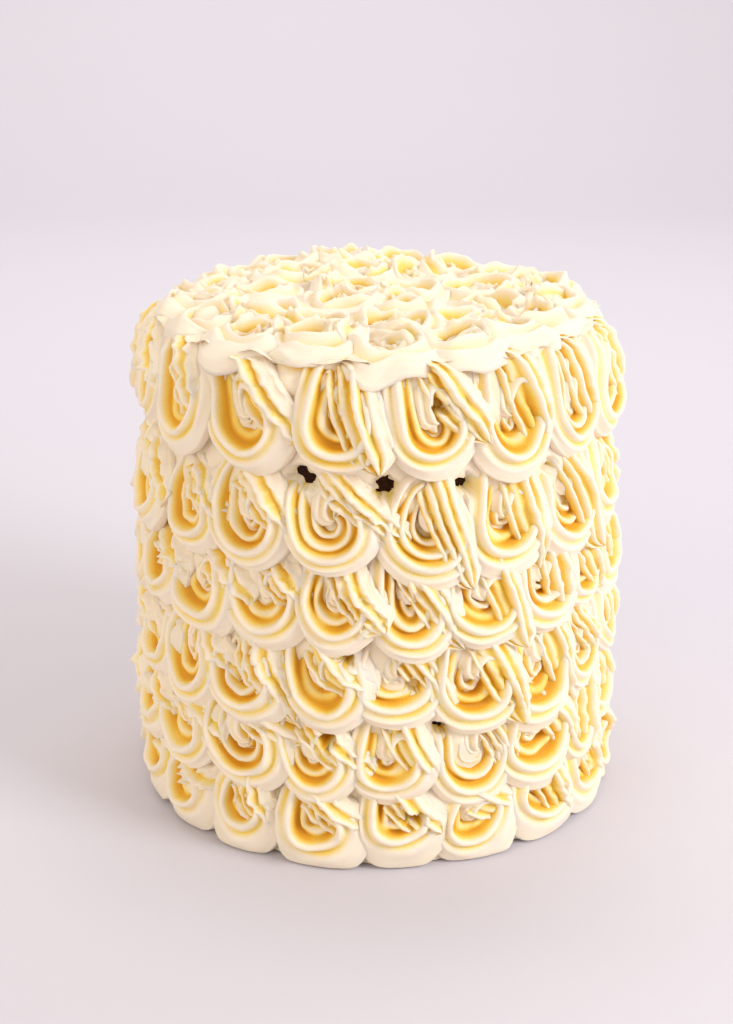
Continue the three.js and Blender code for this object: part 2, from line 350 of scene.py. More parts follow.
def waves(points, size, rng, count=9):
    """Smooth unevenness, mostly between -1 and 1, that comes back about every size."""
    ways = rng.normal(size=(count, points.shape[-1]))
    ways /= np.linalg.norm(ways, axis=1)[:, None]
    ways *= TURN / (size * rng.uniform(0.6, 1.6, count))[:, None]
    return np.sin(points @ ways.T + rng.uniform(0, TURN, count)).sum(axis=-1) / math.sqrt(count)


def rough(points, kinds, rng, count=9):
    """The sum of several waves, each given by its strength and size."""
    return sum(strength * waves(points, size, rng, count) for strength, size in kinds)


# --- One piped rosette ---

class Bend(NamedTuple):
    """A turning point across the piped rope, in shares of its radius."""
    across: float  # from the main crest, positive away from the rosette's middle
    below: float  # the main crest
    kind: str


SECTION = (
    Bend(-1.22, 1.05, "groove"),
    Bend(-1.04, 0.62, "ridge"),
    Bend(-0.79, 0.96, "groove"),
    Bend(-0.52, 0.24, "ridge"),
    Bend(-0.26, 0.60, "groove"),
    Bend(0.00, 0.00, "ridge"),
    Bend(0.32, 0.34, "groove"),
    Bend(0.58, 0.27, "ridge"),
    Bend(0.80, 0.46, "groove"),
    Bend(1.02, 0.60, "ridge"),
    Bend(1.12, 1.00, "foot"),
    Bend(0.60, 1.30, "under"),
    Bend(-0.80, 1.30, "under"),
)
RIDGES = [bend for bend in SECTION if bend.kind == "ridge"]
BEND_STEPS = 3
RIDGE_ROUNDNESS = 1.6  # above 1 the ridges are broad and the grooves between them narrow
FAINT_RIDGE = 1  # the ridge, counted from the inside, that is sunk in some rosettes
FAINTNESS = (0, 0.4)
UNDERSIDE = 2.5  # height of a rope's hidden underside over the sponge

# The rope's way: a spiral out of the middle, then a tail across the loop.
PATH_POINTS = 400
ROPE_STEPS = 84
SPIRAL_START = -0.75  # turns before the rope passes the rosette's right side
SPIRAL_END = 0.76
SPIRAL_CORE = 0.04  # distance from the middle at the start, in loop radii
SPIRAL_OPENING = 1.15  # turns over which the spiral widens to the full loop
SPIRAL_EASE = 2.2
CORE_SHIFT_FROM = -0.1  # turns from which the spiral comes back to the rosette's middle
CORE_SHIFT_OVER = 0.6
CORE_SHIFT_UP = 0.1  # share of the shift that goes upwards
CORE_TURNS = 0.8  # turns over which the rope grows to its full size
CORE_RADIUS = 0.42  # share of the rope radius at the start
CORE_DROP = 4.0  # how far the start lies below the crest depth
TAIL_TURNS = 0.35  # turns that the tail counts for
TAIL_RADIUS = 0.74  # share of the rope radius at the tail's end
TAIL_LIFT = 2.2  # height of the tail over the loop that it crosses
TAIL_SAG = 1.2  # how far it sinks on its way
TAIL_DIVE = 4.5  # how far it sinks besides at its very end
PATH_LEAST = 0.02  # added to every step of the path, so that none has no length

# The rope's surface. Sizes of waves are in steps along the rope, FROM and OVER in turns along it,
# and strengths in rope radii, where they don't say otherwise.
WAY_SOFTNESS = 5  # steps on each side over which the rope's direction is evened out
RAGGED_BEFORE = 0.08  # how ragged the rope is before its tail
RAGGED_FROM = 0.6
RAGGED_OVER = 0.25
RIDGE_SWAY = 0.06
RIDGE_SWAY_SIZE = 14
RIDGE_TEAR = 0.13
RIDGE_TEAR_SIZE = 4
GROOVE_SWAY = 0.2  # share of a groove's depth
GROOVE_SWAY_SIZE = 22
STRANDS = 0.75  # share by which the outer grooves are deeper along the tail
STRANDS_FROM = 0.72
STRANDS_OVER = 0.15
FLATNESS = 0.82  # share of their height that the ridges keep on the tail
FLAT_FROM = 0.75
FLAT_OVER = 0.3
SPLIT_LEAST = 0.1  # share of its depth that every groove keeps for its painted shade
SPLIT_CURVE = 1.5  # above 1 deeper grooves get stronger painted shade
FAINT_HOLLOW = 0.5  # share of the sunken ridge's depth that gets painted shade as a groove
EDGE_SWAY = 0.06
EDGE_SWAY_SIZE = 32
SKIRT_FROM = 0.5  # across the rope, where its outside starts, which may spread or be pinched
SKIRT_OVER = 0.4  # across the rope as well
FOOT_OVER = 0.1  # where the spread of the loop's foot sets in, from 0
LEFT_PINCH = 0.2  # share by which the outside is narrower on the loop's left
LEFT_FROM = 0.2
END_STEPS = 3  # over which the rope's ends close
END_POINT = 0.02  # keeps the ends from closing to nothing

# Waves through the whole rosette, in millimetres.
TEAR = 0.36
TEAR_SIZE = 3.6
SIDE_SWAY = (0.9, 36)
TOP_SWAY = (1.2, 15)

PEAKS = 4
PEAK_ALONG = (0.5, 0.99)  # share of the rope where a peak may stand
PEAK_SPREAD = 1.2
PEAK_SIDEWAYS = (-1, 1)
PEAK_OUT = (0.8, 2.2)

LEAN_LENGTH = 15  # the length over which a rosette's lean is given
SIDEWAYS_SLOPE = 0.03  # every rosette stands out a little more on its right
TUCK_FROM = 4  # above the middle, where the head starts to be tucked in


class Rosette(NamedTuple):
    """One rosette's place on the cake and how it was piped, in millimetres and radians."""
    angle: float
    place: float
    rope: float
    loop: float
    crest: float
    turned: float
    curl: float  # how far the spiral starts to the right of the middle, in loop radii
    bend: float
    tail: tuple
    stretch: float
    open: float
    skirt: float
    lean: float
    tuck: float
    torn: float
    peak: float
    seed: int


def rosettes_of(ring, number, sizes):
    """The rosettes of one ring, in rising order of angle."""
    manner = ring.manner
    for k in range(ring.count):
        seed = SEEDS_PER_RING * number + k
        rng = np.random.default_rng(seed)
        size = math.sqrt(ring.radius / USUAL_RADIUS) * (1 + UNEVEN_SIZE * wobble(number, k, 3))
        steps = k + UNEVEN_ANGLE * wobble(number, k, 1)
        angle = math.radians(ring.first) + TURN / ring.count * steps
        messy = 0.5 - 0.5 * math.sin(angle)
        shape = {name: rng.uniform(*span) for name, span in manner.plain.items()}
        shape.update({name: rng.uniform(*span) for name, span in manner.own.items()})
        further_out, further_up = manner.messy_tail if messy > MESSY_FROM else (0, 0)
        place = ring.place + UNEVEN_PLACE * wobble(number, k, 2) + manner.raised
        yield Rosette(
            angle=angle + rng.uniform(*ANGLE_SPAN) * TURN / ring.count,
            place=place + manner.shifted * rng.uniform(*PLACE_SPAN),
            rope=sizes.rope_radius / MM * size * rng.uniform(*ROPE_SPAN) * manner.thick,
            loop=sizes.loop_radius / MM * size * rng.uniform(*LOOP_SPAN) * manner.wide,
            crest=sizes.crest_depth / MM + rng.uniform(*CREST_SPAN) + manner.crest,
            turned=math.radians(shape["turned"] + manner.messy_turn * messy),
            curl=rng.uniform(*CURL_SPAN),
            bend=shape["bend"],
            tail=(shape["tail_out"] + further_out, shape["tail_up"] + further_up),
            stretch=shape["stretch"],
            open=draw(rng, manner.open),
            skirt=draw(rng, manner.skirt),
            lean=manner.lean,
            tuck=manner.tuck,
            torn=draw(rng, manner.torn) + manner.messy_torn * messy,
            peak=max(0.0, draw(rng, manner.peak)),
            seed=seed,
        )


def rope_path(rosette):
    """The rope's middle line (u, v), radius, crest depth and turns at each step, from the middle out."""
    t = np.linspace(SPIRAL_START, SPIRAL_END, PATH_POINTS)
    opened = np.clip((t - SPIRAL_START) / SPIRAL_OPENING, 0, 1)
    reach = SPIRAL_CORE + np.sin(math.pi / 2 * opened) ** SPIRAL_EASE
    shift = rosette.curl * (1 - smooth((t - CORE_SHIFT_FROM) / CORE_SHIFT_OVER))
    u = shift + reach * np.cos(-TURN * t)
    v = CORE_SHIFT_UP * shift + reach * np.sin(-TURN * t)
    grown = smooth((t - SPIRAL_START) / CORE_TURNS)
    radius = mix(CORE_RADIUS, 1.0, grown)
    drop = mix(CORE_DROP, 0.0, grown)

    end = np.array([u[-1], v[-1]])
    way = end - np.array([u[-2], v[-2]])
    bend = end + way / np.linalg.norm(way) * rosette.bend
    s = np.linspace(0, 1, PATH_POINTS // 4)[1:]
    tail = (1 - s)[:, None] ** 2 * end + (2 * s * (1 - s))[:, None] * bend
    tail += (s**2)[:, None] * np.array(rosette.tail)
    u = np.concatenate([u, tail[:, 0]]) * rosette.loop
    v = np.concatenate([v, tail[:, 1]]) * rosette.loop * rosette.stretch
    v *= 1 + rosette.open * smooth(v / rosette.loop)
    radius = np.concatenate([radius, mix(1.0, TAIL_RADIUS, s)])
    lift = TAIL_LIFT * smooth(4 * s * (1 - s)) + rosette.peak * s**5
    drop = np.concatenate([drop, TAIL_SAG * s**2 + TAIL_DIVE * s**6 - lift])
    turns = np.concatenate([t, SPIRAL_END + TAIL_TURNS * s])

    length = np.concatenate([[0], np.cumsum(np.hypot(np.diff(u), np.diff(v)) + PATH_LEAST)])
    even = np.linspace(0, length[-1], ROPE_STEPS)
    u, v, radius, drop, turns = (np.interp(even, length, row) for row in (u, v, radius, drop, turns))
    return u, v, radius * rosette.rope, rosette.crest - drop, turns


def rope_section():
    """Points round the rope, starting at its inner foot.

    Returns how far each is across and below the main crest and below a line from ridge to ridge, in
    shares of the radius, how near it is to a ridge, which one, and whether it is on the underside.
    """
    ridge_line = [bend.across for bend in RIDGES], [bend.below for bend in RIDGES]
    rows = []
    for k, bend in enumerate(SECTION):
        after = SECTION[(k + 1) % len(SECTION)]
        outside = "under" in (bend.kind, after.kind)
        steps = BEND_STEPS if bend.kind in ("ridge", "groove") else 1
        for step in range(steps):
            share = step / steps
            eased = 0.5 - 0.5 * math.cos(math.pi * share)
            if bend.kind == "groove":
                eased = 1 - (1 - eased) ** RIDGE_ROUNDNESS
            else:
                eased = eased**RIDGE_ROUNDNESS
            across = mix(bend.across, after.across, share)
            below = mix(bend.below, after.below, eased)
            sunk = max(below - np.interp(across, *ridge_line), 0)
            if outside or across > RIDGES[-1].across:
                sunk = 0
            ridged = (1 - eased) * (bend.kind == "ridge") + eased * (after.kind == "ridge")
            nearest = int(np.argmin([abs(ridge.across - across) for ridge in RIDGES]))
            under = outside and (bend.kind == "under" or share > 0.5)
            rows.append((across, below, sunk, ridged, nearest, under))
    across, below, sunk, ridged, nearest, under = (np.array(column) for column in zip(*rows))
    return across, below, sunk, ridged, nearest.astype(int), under.astype(bool)


def soften(row, width):
    """Evens out a row of numbers over a number of steps on each side."""
    weights = np.hanning(2 * width + 3)[1:-1]
    return np.convolve(np.pad(row, width, mode="edge"), weights / weights.sum(), "valid")


def rosette_grid(rosette):
    """The rosette's surface as steps along the rope by steps round it.

    Returns each point's (u, v, w) and how far it is sunk in a groove between two ridges, which sets its
    painted shade.
    """
    rng = np.random.default_rng(rosette.seed)
    u, v, radius, crest, turns = rope_path(rosette)
    tangent = np.stack([soften(np.gradient(row), WAY_SOFTNESS) for row in (u, v)], axis=1)
    tangent /= np.linalg.norm(tangent, axis=1)[:, None]
    outward = np.stack([-tangent[:, 1], tangent[:, 0]], axis=1)

    across, below, sunk, ridged, nearest, under = rope_section()
    steps = np.arange(ROPE_STEPS)
    along = steps[:, None] * 1.0
    ragged = RAGGED_BEFORE + rosette.torn * smooth((turns - RAGGED_FROM) / RAGGED_OVER)
    uneven = np.stack([
        RIDGE_SWAY * waves(along, RIDGE_SWAY_SIZE, rng)
        + RIDGE_TEAR * ragged * waves(along, RIDGE_TEAR_SIZE, rng)
        for _ in SECTION
    ], axis=1)[:, nearest]
    split = np.stack([GROOVE_SWAY * waves(along, GROOVE_SWAY_SIZE, rng) for _ in SECTION], axis=1)
    strands = 1 + STRANDS * smooth((turns - STRANDS_FROM) / STRANDS_OVER)[:, None] * (across > 0)
    split = (1 + split)[:, nearest] * strands
    faint = rng.uniform(*FAINTNESS) * ridged * (nearest == FAINT_RIDGE)
    flat = mix(1, FLATNESS, smooth((turns - FLAT_FROM) / FLAT_OVER)[:, None])
    below = (below + sunk * (split - 1) + faint - uneven * ridged) * flat
    # How far each point is sunk, for the painted shade in its colour.
    deepened = np.maximum(split, SPLIT_LEAST) ** SPLIT_CURVE
    sunk = radius[:, None] * (sunk + FAINT_HOLLOW * faint) * deepened * flat

    foot = np.clip(-outward[:, 1], 0, 1) * smooth(turns / FOOT_OVER) * (turns < SPIRAL_END)
    left = np.clip(-outward[:, 0], 0, 1) * (turns > LEFT_FROM) * (turns < SPIRAL_END)
    on_skirt = smooth((across - SKIRT_FROM) / SKIRT_OVER)
    across = across * (1 + (rosette.skirt * foot - LEFT_PINCH * left)[:, None] * on_skirt)
    across = across + (EDGE_SWAY * waves(along, EDGE_SWAY_SIZE, rng))[:, None]
    closing = np.minimum(1, np.sqrt((steps + END_POINT) / END_STEPS))
    ends = closing * closing[::-1]
    reach = radius * ends
    out = reach[:, None] * across
    grid_u = u[:, None] + out * outward[:, 0:1]
    grid_v = v[:, None] + out * outward[:, 1:2]
    grid_w = crest[:, None] - reach[:, None] * below
    grid_w[:, under] = (crest - (crest - UNDERSIDE) * ends)[:, None]

    grid = np.stack([grid_u, grid_v, grid_w], axis=-1)
    sway, sway_size = SIDE_SWAY if rosette.lean else TOP_SWAY
    tear = (TEAR * ragged)[:, None]
    for axis in range(3):
        grid[..., axis] += sway * waves(grid, sway_size, rng) + tear * waves(grid, TEAR_SIZE, rng)
    pluck(grid, rosette, rng)
    return grid, sunk


def pluck(grid, rosette, rng):
    """Pulls up a few small torn peaks on the ridges, along the second half of the rope."""
    for _ in range(PEAKS):
        step = int(ROPE_STEPS * rng.uniform(*PEAK_ALONG))
        ridge = BEND_STEPS * (1 + 2 * rng.integers(len(RIDGES)))
        tip = grid[step, ridge].copy()
        near = np.exp(-(np.linalg.norm(grid - tip, axis=-1) / PEAK_SPREAD) ** 2)
        pull = np.array([rng.uniform(*span) for span in (PEAK_SIDEWAYS, PEAK_SIDEWAYS, PEAK_OUT)])
        grid += near[..., None] * pull * rosette.torn


def settle(grid, rosette):
    """Turns a rosette in its place, leans its foot out over the ring below and tucks its head in."""
    cos, sin = math.cos(rosette.turned), math.sin(rosette.turned)
    u = grid[..., 0] * cos - grid[..., 1] * sin
    v = grid[..., 0] * sin + grid[..., 1] * cos
    w = grid[..., 2] - rosette.lean * v / LEAN_LENGTH + SIDEWAYS_SLOPE * u
    w -= rosette.tuck * np.maximum(v - TUCK_FROM, 0)
    return u, v, w


# --- Placing icing on the sponge ---

def sponge_radius(height, sizes):
    share = np.clip(height / SPONGE_HEIGHT, 0, 1)
    return mix(SPONGE_BASE_RADIUS, sizes.sponge_top_radius / MM, share)


def round_axis(radius, angle, height):
    """Points at a distance from the cake's axis, at an angle from the front and at a height."""
    return np.stack([radius * np.sin(angle), -radius * np.cos(angle), height], axis=-1)


def side_chart(angle, place):
    """Points for waves that run round the cake without a seam."""
    return np.stack([np.sin(angle) * ICING_RADIUS, np.cos(angle) * ICING_RADIUS, place], axis=-1)


def press_on_floor(height):
    """Presses what would reach below the floor flat on it."""
    low = FLOOR_SOFTNESS * np.exp((np.minimum(height, FLOOR_SOFTNESS) - FLOOR_SOFTNESS) / FLOOR_SOFTNESS)
    return np.where(height > FLOOR_SOFTNESS, height, low)


def wrap_side(rosette, u, v, w, sizes):
    """Places (u, v, w) on the cake's side, in millimetres."""
    lift = sizes.floor_lift / MM
    z = lift + press_on_floor(rosette.place + v - lift)
    above = np.maximum(z - SPONGE_HEIGHT - EDGE_START, 0)
    kept = EDGE_ROOM * (1 - np.exp(-above / EDGE_ROOM))
    z = z - above + kept
    shoulder = np.maximum(z - SPONGE_HEIGHT - SHOULDER_START, 0)
    w = w - EDGE_INWARD * kept - SHOULDER_CURVE * shoulder**2
    angle = rosette.angle + u / (sponge_radius(rosette.place, sizes) + WRAP_DEPTH)
    w = thin_out(w, angle, z)
    return round_axis(sponge_radius(z, sizes) + w, angle, z)


def lay_on_top(rosette, u, v, w, sizes):
    """Places (u, v, w) on the cake's top, with v towards its middle, in millimetres."""
    cos, sin = math.cos(rosette.angle), math.sin(rosette.angle)
    y = v - rosette.place
    over = np.maximum(np.hypot(u, y) - (sizes.sponge_top_radius / MM + DROOP_START), 0)
    steep = np.maximum(over - STEEP_DROOP_START, 0)
    z = SPONGE_HEIGHT + w - DROOP_CURVE * over**2 - STEEP_DROOP_CURVE * steep**2
    points = np.stack([u * cos - y * sin, u * sin + y * cos, z], axis=-1)
    away = np.hypot(points[..., 0] - MOUND_PLACE[0], points[..., 1] - MOUND_PLACE[1])
    points[..., 2] += MOUND_HEIGHT * np.exp(-((away / MOUND_SPREAD) ** 2))
    return points


def thin_out(depth, angle, height):
    """Takes the icing on the side down into the sponge at the gaps, so the dark sponge shows there as
    painted shade.
    """
    edge = rough(side_chart(angle, height), (GAP_EDGE,), np.random.default_rng(GAP_SEED))
    for gap in GAPS:
        away = (angle - math.radians(gap.angle) + TURN / 2) % TURN - TURN / 2
        distance = np.hypot(away * ICING_RADIUS, (height - gap.height) * GAP_FLATNESS)
        share = distance / gap.reach + edge
        depth = mix(np.minimum(depth, GAP_DEPTH), depth, smooth((share - GAP_BOTTOM) / GAP_SLOPE))
    return depth


def coat_depth(angle, place, on_top, sizes):
    """Thickness of the plain coat, which thins out to nothing at the gaps."""
    rng = np.random.default_rng(COAT_SEED_TOP if on_top else COAT_SEED_SIDE)
    depth = sizes.coat_depth / MM * (1 + rough(side_chart(angle, place), COAT_WAVES, rng))
    if on_top:
        return COAT_ON_TOP * depth
    shoulder = np.maximum(place - SPONGE_HEIGHT - COAT_SHOULDER_START, 0)
    return thin_out(depth - COAT_SHOULDER_CURVE * shoulder**2, angle, place)


def coat_grid(number, sizes):
    """The coat under one ring, as rows of points round the cake."""
    on_top = RINGS[number].on_top
    low, high = coat_band(number)
    columns = COAT_COLUMNS_TOP if on_top else COAT_COLUMNS_SIDE
    rows = max(3, int((high - low) / (COAT_ROW_TOP if on_top else COAT_ROW_SIDE)))
    angle = np.arange(columns) / columns * TURN * np.ones((rows, 1))
    place = np.linspace(low, high, rows)[:, None] * np.ones(columns)
    depth = coat_depth(angle, place, on_top, sizes)
    if on_top:
        return round_axis(place, angle, SPONGE_HEIGHT + depth)
    return round_axis(sponge_radius(place, sizes) + depth, angle, place)


def coat_seam(ring):
    """The place where a ring's coat meets the coat of the next ring."""
    if ring.on_top:
        return ring.place + ring.radius - SEAM_IN_TOP
    return ring.place - ring.radius + SEAM_IN_SIDE


def coat_band(number):
    """The stretch of the sponge under one ring, as its lowest and its highest place."""
    ring = RINGS[number]
    seams = [coat_seam(each) for each in RINGS[:number] if each.on_top == ring.on_top]
    if ring.on_top:
        low = seams[-1] if seams else 0
        high = COAT_TOP_REACH if ring.manner is TOP_RIM else coat_seam(ring)
    else:
        low = COAT_FOOT if ring.manner is LOWEST else coat_seam(ring)
        high = seams[-1] if seams else SPONGE_HEIGHT + COAT_OVER_EDGE
    return low, high


# --- Meshes ---

def grid_quads(rows, columns, start):
    """Faces of a grid that is closed along its columns."""
    row = np.arange(rows - 1)[:, None] * columns
    column = np.arange(columns)[None, :]
    after = (column + 1) % columns
    quads = np.stack([row + column, row + columns + column, row + columns + after, row + after], axis=-1)
    return (quads.reshape(-1, 4) + start).tolist()


def grid_caps(rows, columns, start):
    """The two faces that close the ends of such a grid."""
    first = np.arange(columns) + start
    last = np.arange(columns)[::-1] + (rows - 1) * columns + start
    return [first.tolist(), last.tolist()]


def new_mesh(name, points, faces):
    """A smooth-shaded object from points in millimetres."""
    mesh = bpy.data.meshes.new(name)
    mesh.from_pydata((points * MM).tolist(), [], faces)
    mesh.validate()
    mesh.update()
    mesh.polygons.foreach_set("use_smooth", np.ones(len(mesh.polygons), dtype=bool))
    piece = bpy.data.objects.new(name, mesh)
    bpy.context.scene.collection.objects.link(piece)
    return piece


def ring_parts(ring, number, sizes):
    """All points and faces of one ring, its coat first, and how far each point is sunk."""
    coat = coat_grid(number, sizes)
    faces = grid_quads(*coat.shape[:2], 0)
    if not ring.on_top:
        faces = [face[::-1] for face in faces]
    parts = [coat.reshape(-1, 3)]
    start = len(parts[0])
    depths = [np.full(start, COAT_HOLLOW)]
    place = lay_on_top if ring.on_top else wrap_side
    for rosette in rosettes_of(ring, number, sizes):
        grid, sunk = rosette_grid(rosette)
        points = place(rosette, *settle(grid, rosette), sizes)
        rows, columns = points.shape[:2]
        parts.append(points.reshape(-1, 3))
        depths.append(sunk.reshape(-1) * (LESS_PAINTED_SHADE_ON_TOP if ring.on_top else 1.0))
        faces += grid_quads(rows, columns, start) + grid_caps(rows, columns, start)
        start += rows * columns
    return np.concatenate(parts), faces, np.concatenate(depths)


# --- How deep each point of the icing lies, for its painted shade ---

RELIEF_SIDE = (560, 180)  # cells round the cake and up, the latter a millimetre each
RELIEF_HIGHEST = 178  # the highest of these cells that is used
RELIEF_ROUND = 559.99  # a full turn in cells, just short of one cell too many
RELIEF_TOP = 190  # cells of a millimetre each way
RELIEF_BLUR_CELLS = 5
RELIEF_BLUR_WIDTH = 3.2
HOLLOW_FREE = 1.5  # depth below the icing round a point that adds no painted shade
HOLLOW_SHARE = 0.5  # share of any further depth that counts
COLOUR_DEPTH = 3  # depth that counts as it is, while lesser ones count less and greater ones more
COLOUR_CURVE = 1.4


def blur(cells, around):
    """Softens a map of depths. Around says how it goes on past the ends of its first axis."""
    reach = RELIEF_BLUR_CELLS
    weights = np.exp(-((np.arange(-reach, reach + 1) / RELIEF_BLUR_WIDTH) ** 2))
    weights /= weights.sum()
    for axis, edge in enumerate((around, "edge")):
        pad = [(0, 0), (0, 0)]
        pad[axis] = (reach, reach)
        wide = np.pad(cells, pad, mode=edge)
        length = cells.shape[axis]
        cells = sum(w * np.take(wide, np.arange(k, k + length), axis) for k, w in enumerate(weights))
    return cells


class Relief:
    """The icing's outermost depth over the side and the top, to find what lies in hollows and so gets
    painted shade.
    """

    def __init__(self, rings, sizes):
        self.sizes = sizes
        side = np.zeros(RELIEF_SIDE)
        top = np.zeros((RELIEF_TOP, RELIEF_TOP))
        for points in rings:
            on_top, side_cells, top_cells, depth = self.cells(points)
            np.maximum.at(side, tuple(side_cells[~on_top].T), depth[~on_top])
            np.maximum.at(top, tuple(top_cells[on_top].T), depth[on_top])
        self.side = blur(side, "wrap")
        self.top = blur(top, "edge")

    def cells(self, points):
        """Whether each point belongs to the top, its cell on the side and on the top, and its depth."""
        up = points[:, 2] - SPONGE_HEIGHT
        out = np.hypot(points[:, 0], points[:, 1]) - sponge_radius(points[:, 2], self.sizes)
        on_top = up > out
        turn = (np.arctan2(points[:, 0], -points[:, 1]) / TURN) % 1
        up_cells = np.clip(points[:, 2], 0, RELIEF_HIGHEST)
        side_cells = np.stack([turn * RELIEF_ROUND, up_cells], axis=1).astype(int)
        top_cells = np.clip(points[:, :2] + RELIEF_TOP / 2, 0, RELIEF_TOP - 1).astype(int)
        return on_top, side_cells, top_cells, np.where(on_top, up, out)

    def painted_shade_depth(self, points):
        """How far each point lies below the icing round it, in millimetres."""
        on_top, side_cells, top_cells, depth = self.cells(points)
        around = np.where(on_top, self.top[tuple(top_cells.T)], self.side[tuple(side_cells.T)])
        return around - depth


def store_painted_shade(piece, sunk, painted_shade_depth):
    """Keeps how deep each point lies, in its own groove and under the icing round it, as the depth of
    its painted shade.
    """
    depth = sunk + HOLLOW_SHARE * np.maximum(painted_shade_depth - HOLLOW_FREE, 0)
    values = COLOUR_DEPTH * (depth / COLOUR_DEPTH) ** COLOUR_CURVE
    attribute = piece.data.attributes.new("painted_shade_depth", "FLOAT", "POINT")
    attribute.data.foreach_set("value", values.astype(np.float32))


# --- Materials ---

HOLLOW_TO_RAMP = 0.22  # place on the colour ramp of painted shade for each millimetre of depth
MOTTLE = 0.25  # how much of the ramp the blotches spread over
PAINTED_GROOVE_SHADE_AT = 0.25
PAINTED_HOLLOW_SHADE_AT = 0.57
PAINTED_DEEPEST_SHADE_AT = 0.95


def new_material(name):
    """A new material with nodes, its nodes and links, and its shader."""
    material = bpy.data.materials.new(name)
    material.use_nodes = True
    nodes = material.node_tree.nodes
    return material, nodes, material.node_tree.links, nodes["Principled BSDF"]


def add_noise(nodes, scale, detail, roughness=0.5):
    noise = nodes.new("ShaderNodeTexNoise")
    noise.inputs["Scale"].default_value = scale
    noise.inputs["Detail"].default_value = detail
    noise.inputs["Roughness"].default_value = roughness
    return noise


def add_scaled(nodes, factor, plus=0.0):
    """A node that multiplies its first input by a factor and adds its third."""
    node = nodes.new("ShaderNodeMath")
    node.operation = "MULTIPLY_ADD"
    node.inputs[1].default_value = factor
    node.inputs[2].default_value = plus
    return node


def add_ramp(nodes, stops):
    """A colour ramp with its stops in rising order."""
    ramp = nodes.new("ShaderNodeValToRGB")
    elements = ramp.color_ramp.elements
    for element, (place, colour) in zip((elements[0], elements[-1]), (stops[0], stops[-1])):
        element.position = place
        element.color = (*colour, 1)
    for place, colour in stops[1:-1]:
        elements.new(place).color = (*colour, 1)
    return ramp


def add_bump(nodes, links, noise, shader, strength, distance):
    """Roughens a shader's surface by a noise."""
    bump = nodes.new("ShaderNodeBump")
    bump.inputs["Strength"].default_value = strength
    bump.inputs["Distance"].default_value = distance
    links.new(noise.outputs["Fac"], bump.inputs["Height"])
    links.new(bump.outputs["Normal"], shader.inputs["Normal"])


def buttercream(colours):
    """Pale cream, with painted shade that turns it deeper yellow to brown down in the grooves and
    hollows; soft and slightly shiny.
    """
    material, nodes, links, shader = new_material("buttercream")
    shader.inputs["Roughness"].default_value = 0.45
    shader.inputs["Subsurface Weight"].default_value = 0.25
    shader.inputs["Subsurface Radius"].default_value = (1.0, 0.62, 0.22)
    shader.inputs["Subsurface Scale"].default_value = 0.0012
    shader.inputs["IOR"].default_value = 1.45

    painted_shade_depth = nodes.new("ShaderNodeAttribute")
    painted_shade_depth.attribute_name = "painted_shade_depth"
    mottle = add_noise(nodes, scale=220, detail=4)
    spread = add_scaled(nodes, MOTTLE, -MOTTLE / 2)
    depth = add_scaled(nodes, HOLLOW_TO_RAMP)
    # Painted shade: the deeper a point lies in a groove or under the icing round it, the darker and
    # yellower it is coloured.
    ramp = add_ramp(nodes, (
        (0.0, colours.cream),
        (PAINTED_GROOVE_SHADE_AT, colours.painted_groove_shade),
        (PAINTED_HOLLOW_SHADE_AT, colours.painted_hollow_shade),
        (PAINTED_DEEPEST_SHADE_AT, colours.painted_deepest_shade),
    ))
    links.new(mottle.outputs["Fac"], spread.inputs[0])
    links.new(painted_shade_depth.outputs["Fac"], depth.inputs[0])
    links.new(spread.outputs[0], depth.inputs[2])
    links.new(depth.outputs[0], ramp.inputs["Fac"])
    links.new(ramp.outputs["Color"], shader.inputs["Base Color"])

    grain = add_noise(nodes, scale=900, detail=6, roughness=0.6)
    add_bump(nodes, links, grain, shader, strength=0.4, distance=0.0007)
    return material


def chocolate_crumb(colours):
    """Dark, matt sponge with an open crumb."""
    material, nodes, links, shader = new_material("chocolate_sponge")
    shader.inputs["Roughness"].default_value = 0.9
    shader.inputs["Specular IOR Level"].default_value = 0.15
    pores = add_noise(nodes, scale=420, detail=8)
    dark = tuple(0.35 * value for value in colours.crumb)
    light = tuple(2.2 * value for value in colours.crumb)
    ramp = add_ramp(nodes, ((0.35, dark), (0.65, light)))
    links.new(pores.outputs["Fac"], ramp.inputs["Fac"])
    links.new(ramp.outputs["Color"], shader.inputs["Base Color"])
    add_bump(nodes, links, pores, shader, strength=0.8, distance=0.001)
    return material


# --- The stage ---

CAMERA_PLACE = (0, -0.5507, 0.300)  # metres, as all of the stage
CAMERA_DOWN = 20.32  # degrees that it is turned down
CAMERA_LEFT = 0.36  # and to the left
CAMERA_SENSOR = 36  # millimetres
PICTURE_HEIGHT = 1024  # pixels
CAMERA_FOCAL = 1602  # focal length in the same pixels

FLOOR_FRONT = -3.0
FLOOR_HALF_WIDTH = 3.0
WALL_START = 1.2
WALL_CURVE = 0.8  # radius of the bend from the floor into the wall
WALL_TOP = 3.0

WORLD_COLOUR = (1.0, 0.94, 0.86)
WORLD_STRENGTH = 0.65
CAKE_MIDDLE = (0, 0, 0.09)


class Lamp(NamedTuple):
    """A square lamp, in metres and watts."""
    name: str
    place: tuple
    target: tuple
    size: float
    power: float
    colour: tuple


LAMPS = (
    Lamp("key", (1.02, -0.6, 0.7), CAKE_MIDDLE, 0.5, 9.9, (0.96, 0.985, 1.03)),
    Lamp("side", (0.8, -0.25, 0.22), CAKE_MIDDLE, 0.9, 2.2, (0.97, 1, 1)),
    Lamp("fill", (-1.0, -0.9, 0.5), CAKE_MIDDLE, 1.1, 6.6, (1, 0.92, 0.79)),
    Lamp("back", (0.3, 0.9, 1.1), CAKE_MIDDLE, 0.9, 1.6, (1, 1, 1)),
    Lamp("wall", (-0.2, 0.6, 1.6), (0, 1.9, 0.3), 1.2, 17, (1, 1, 1)),
)


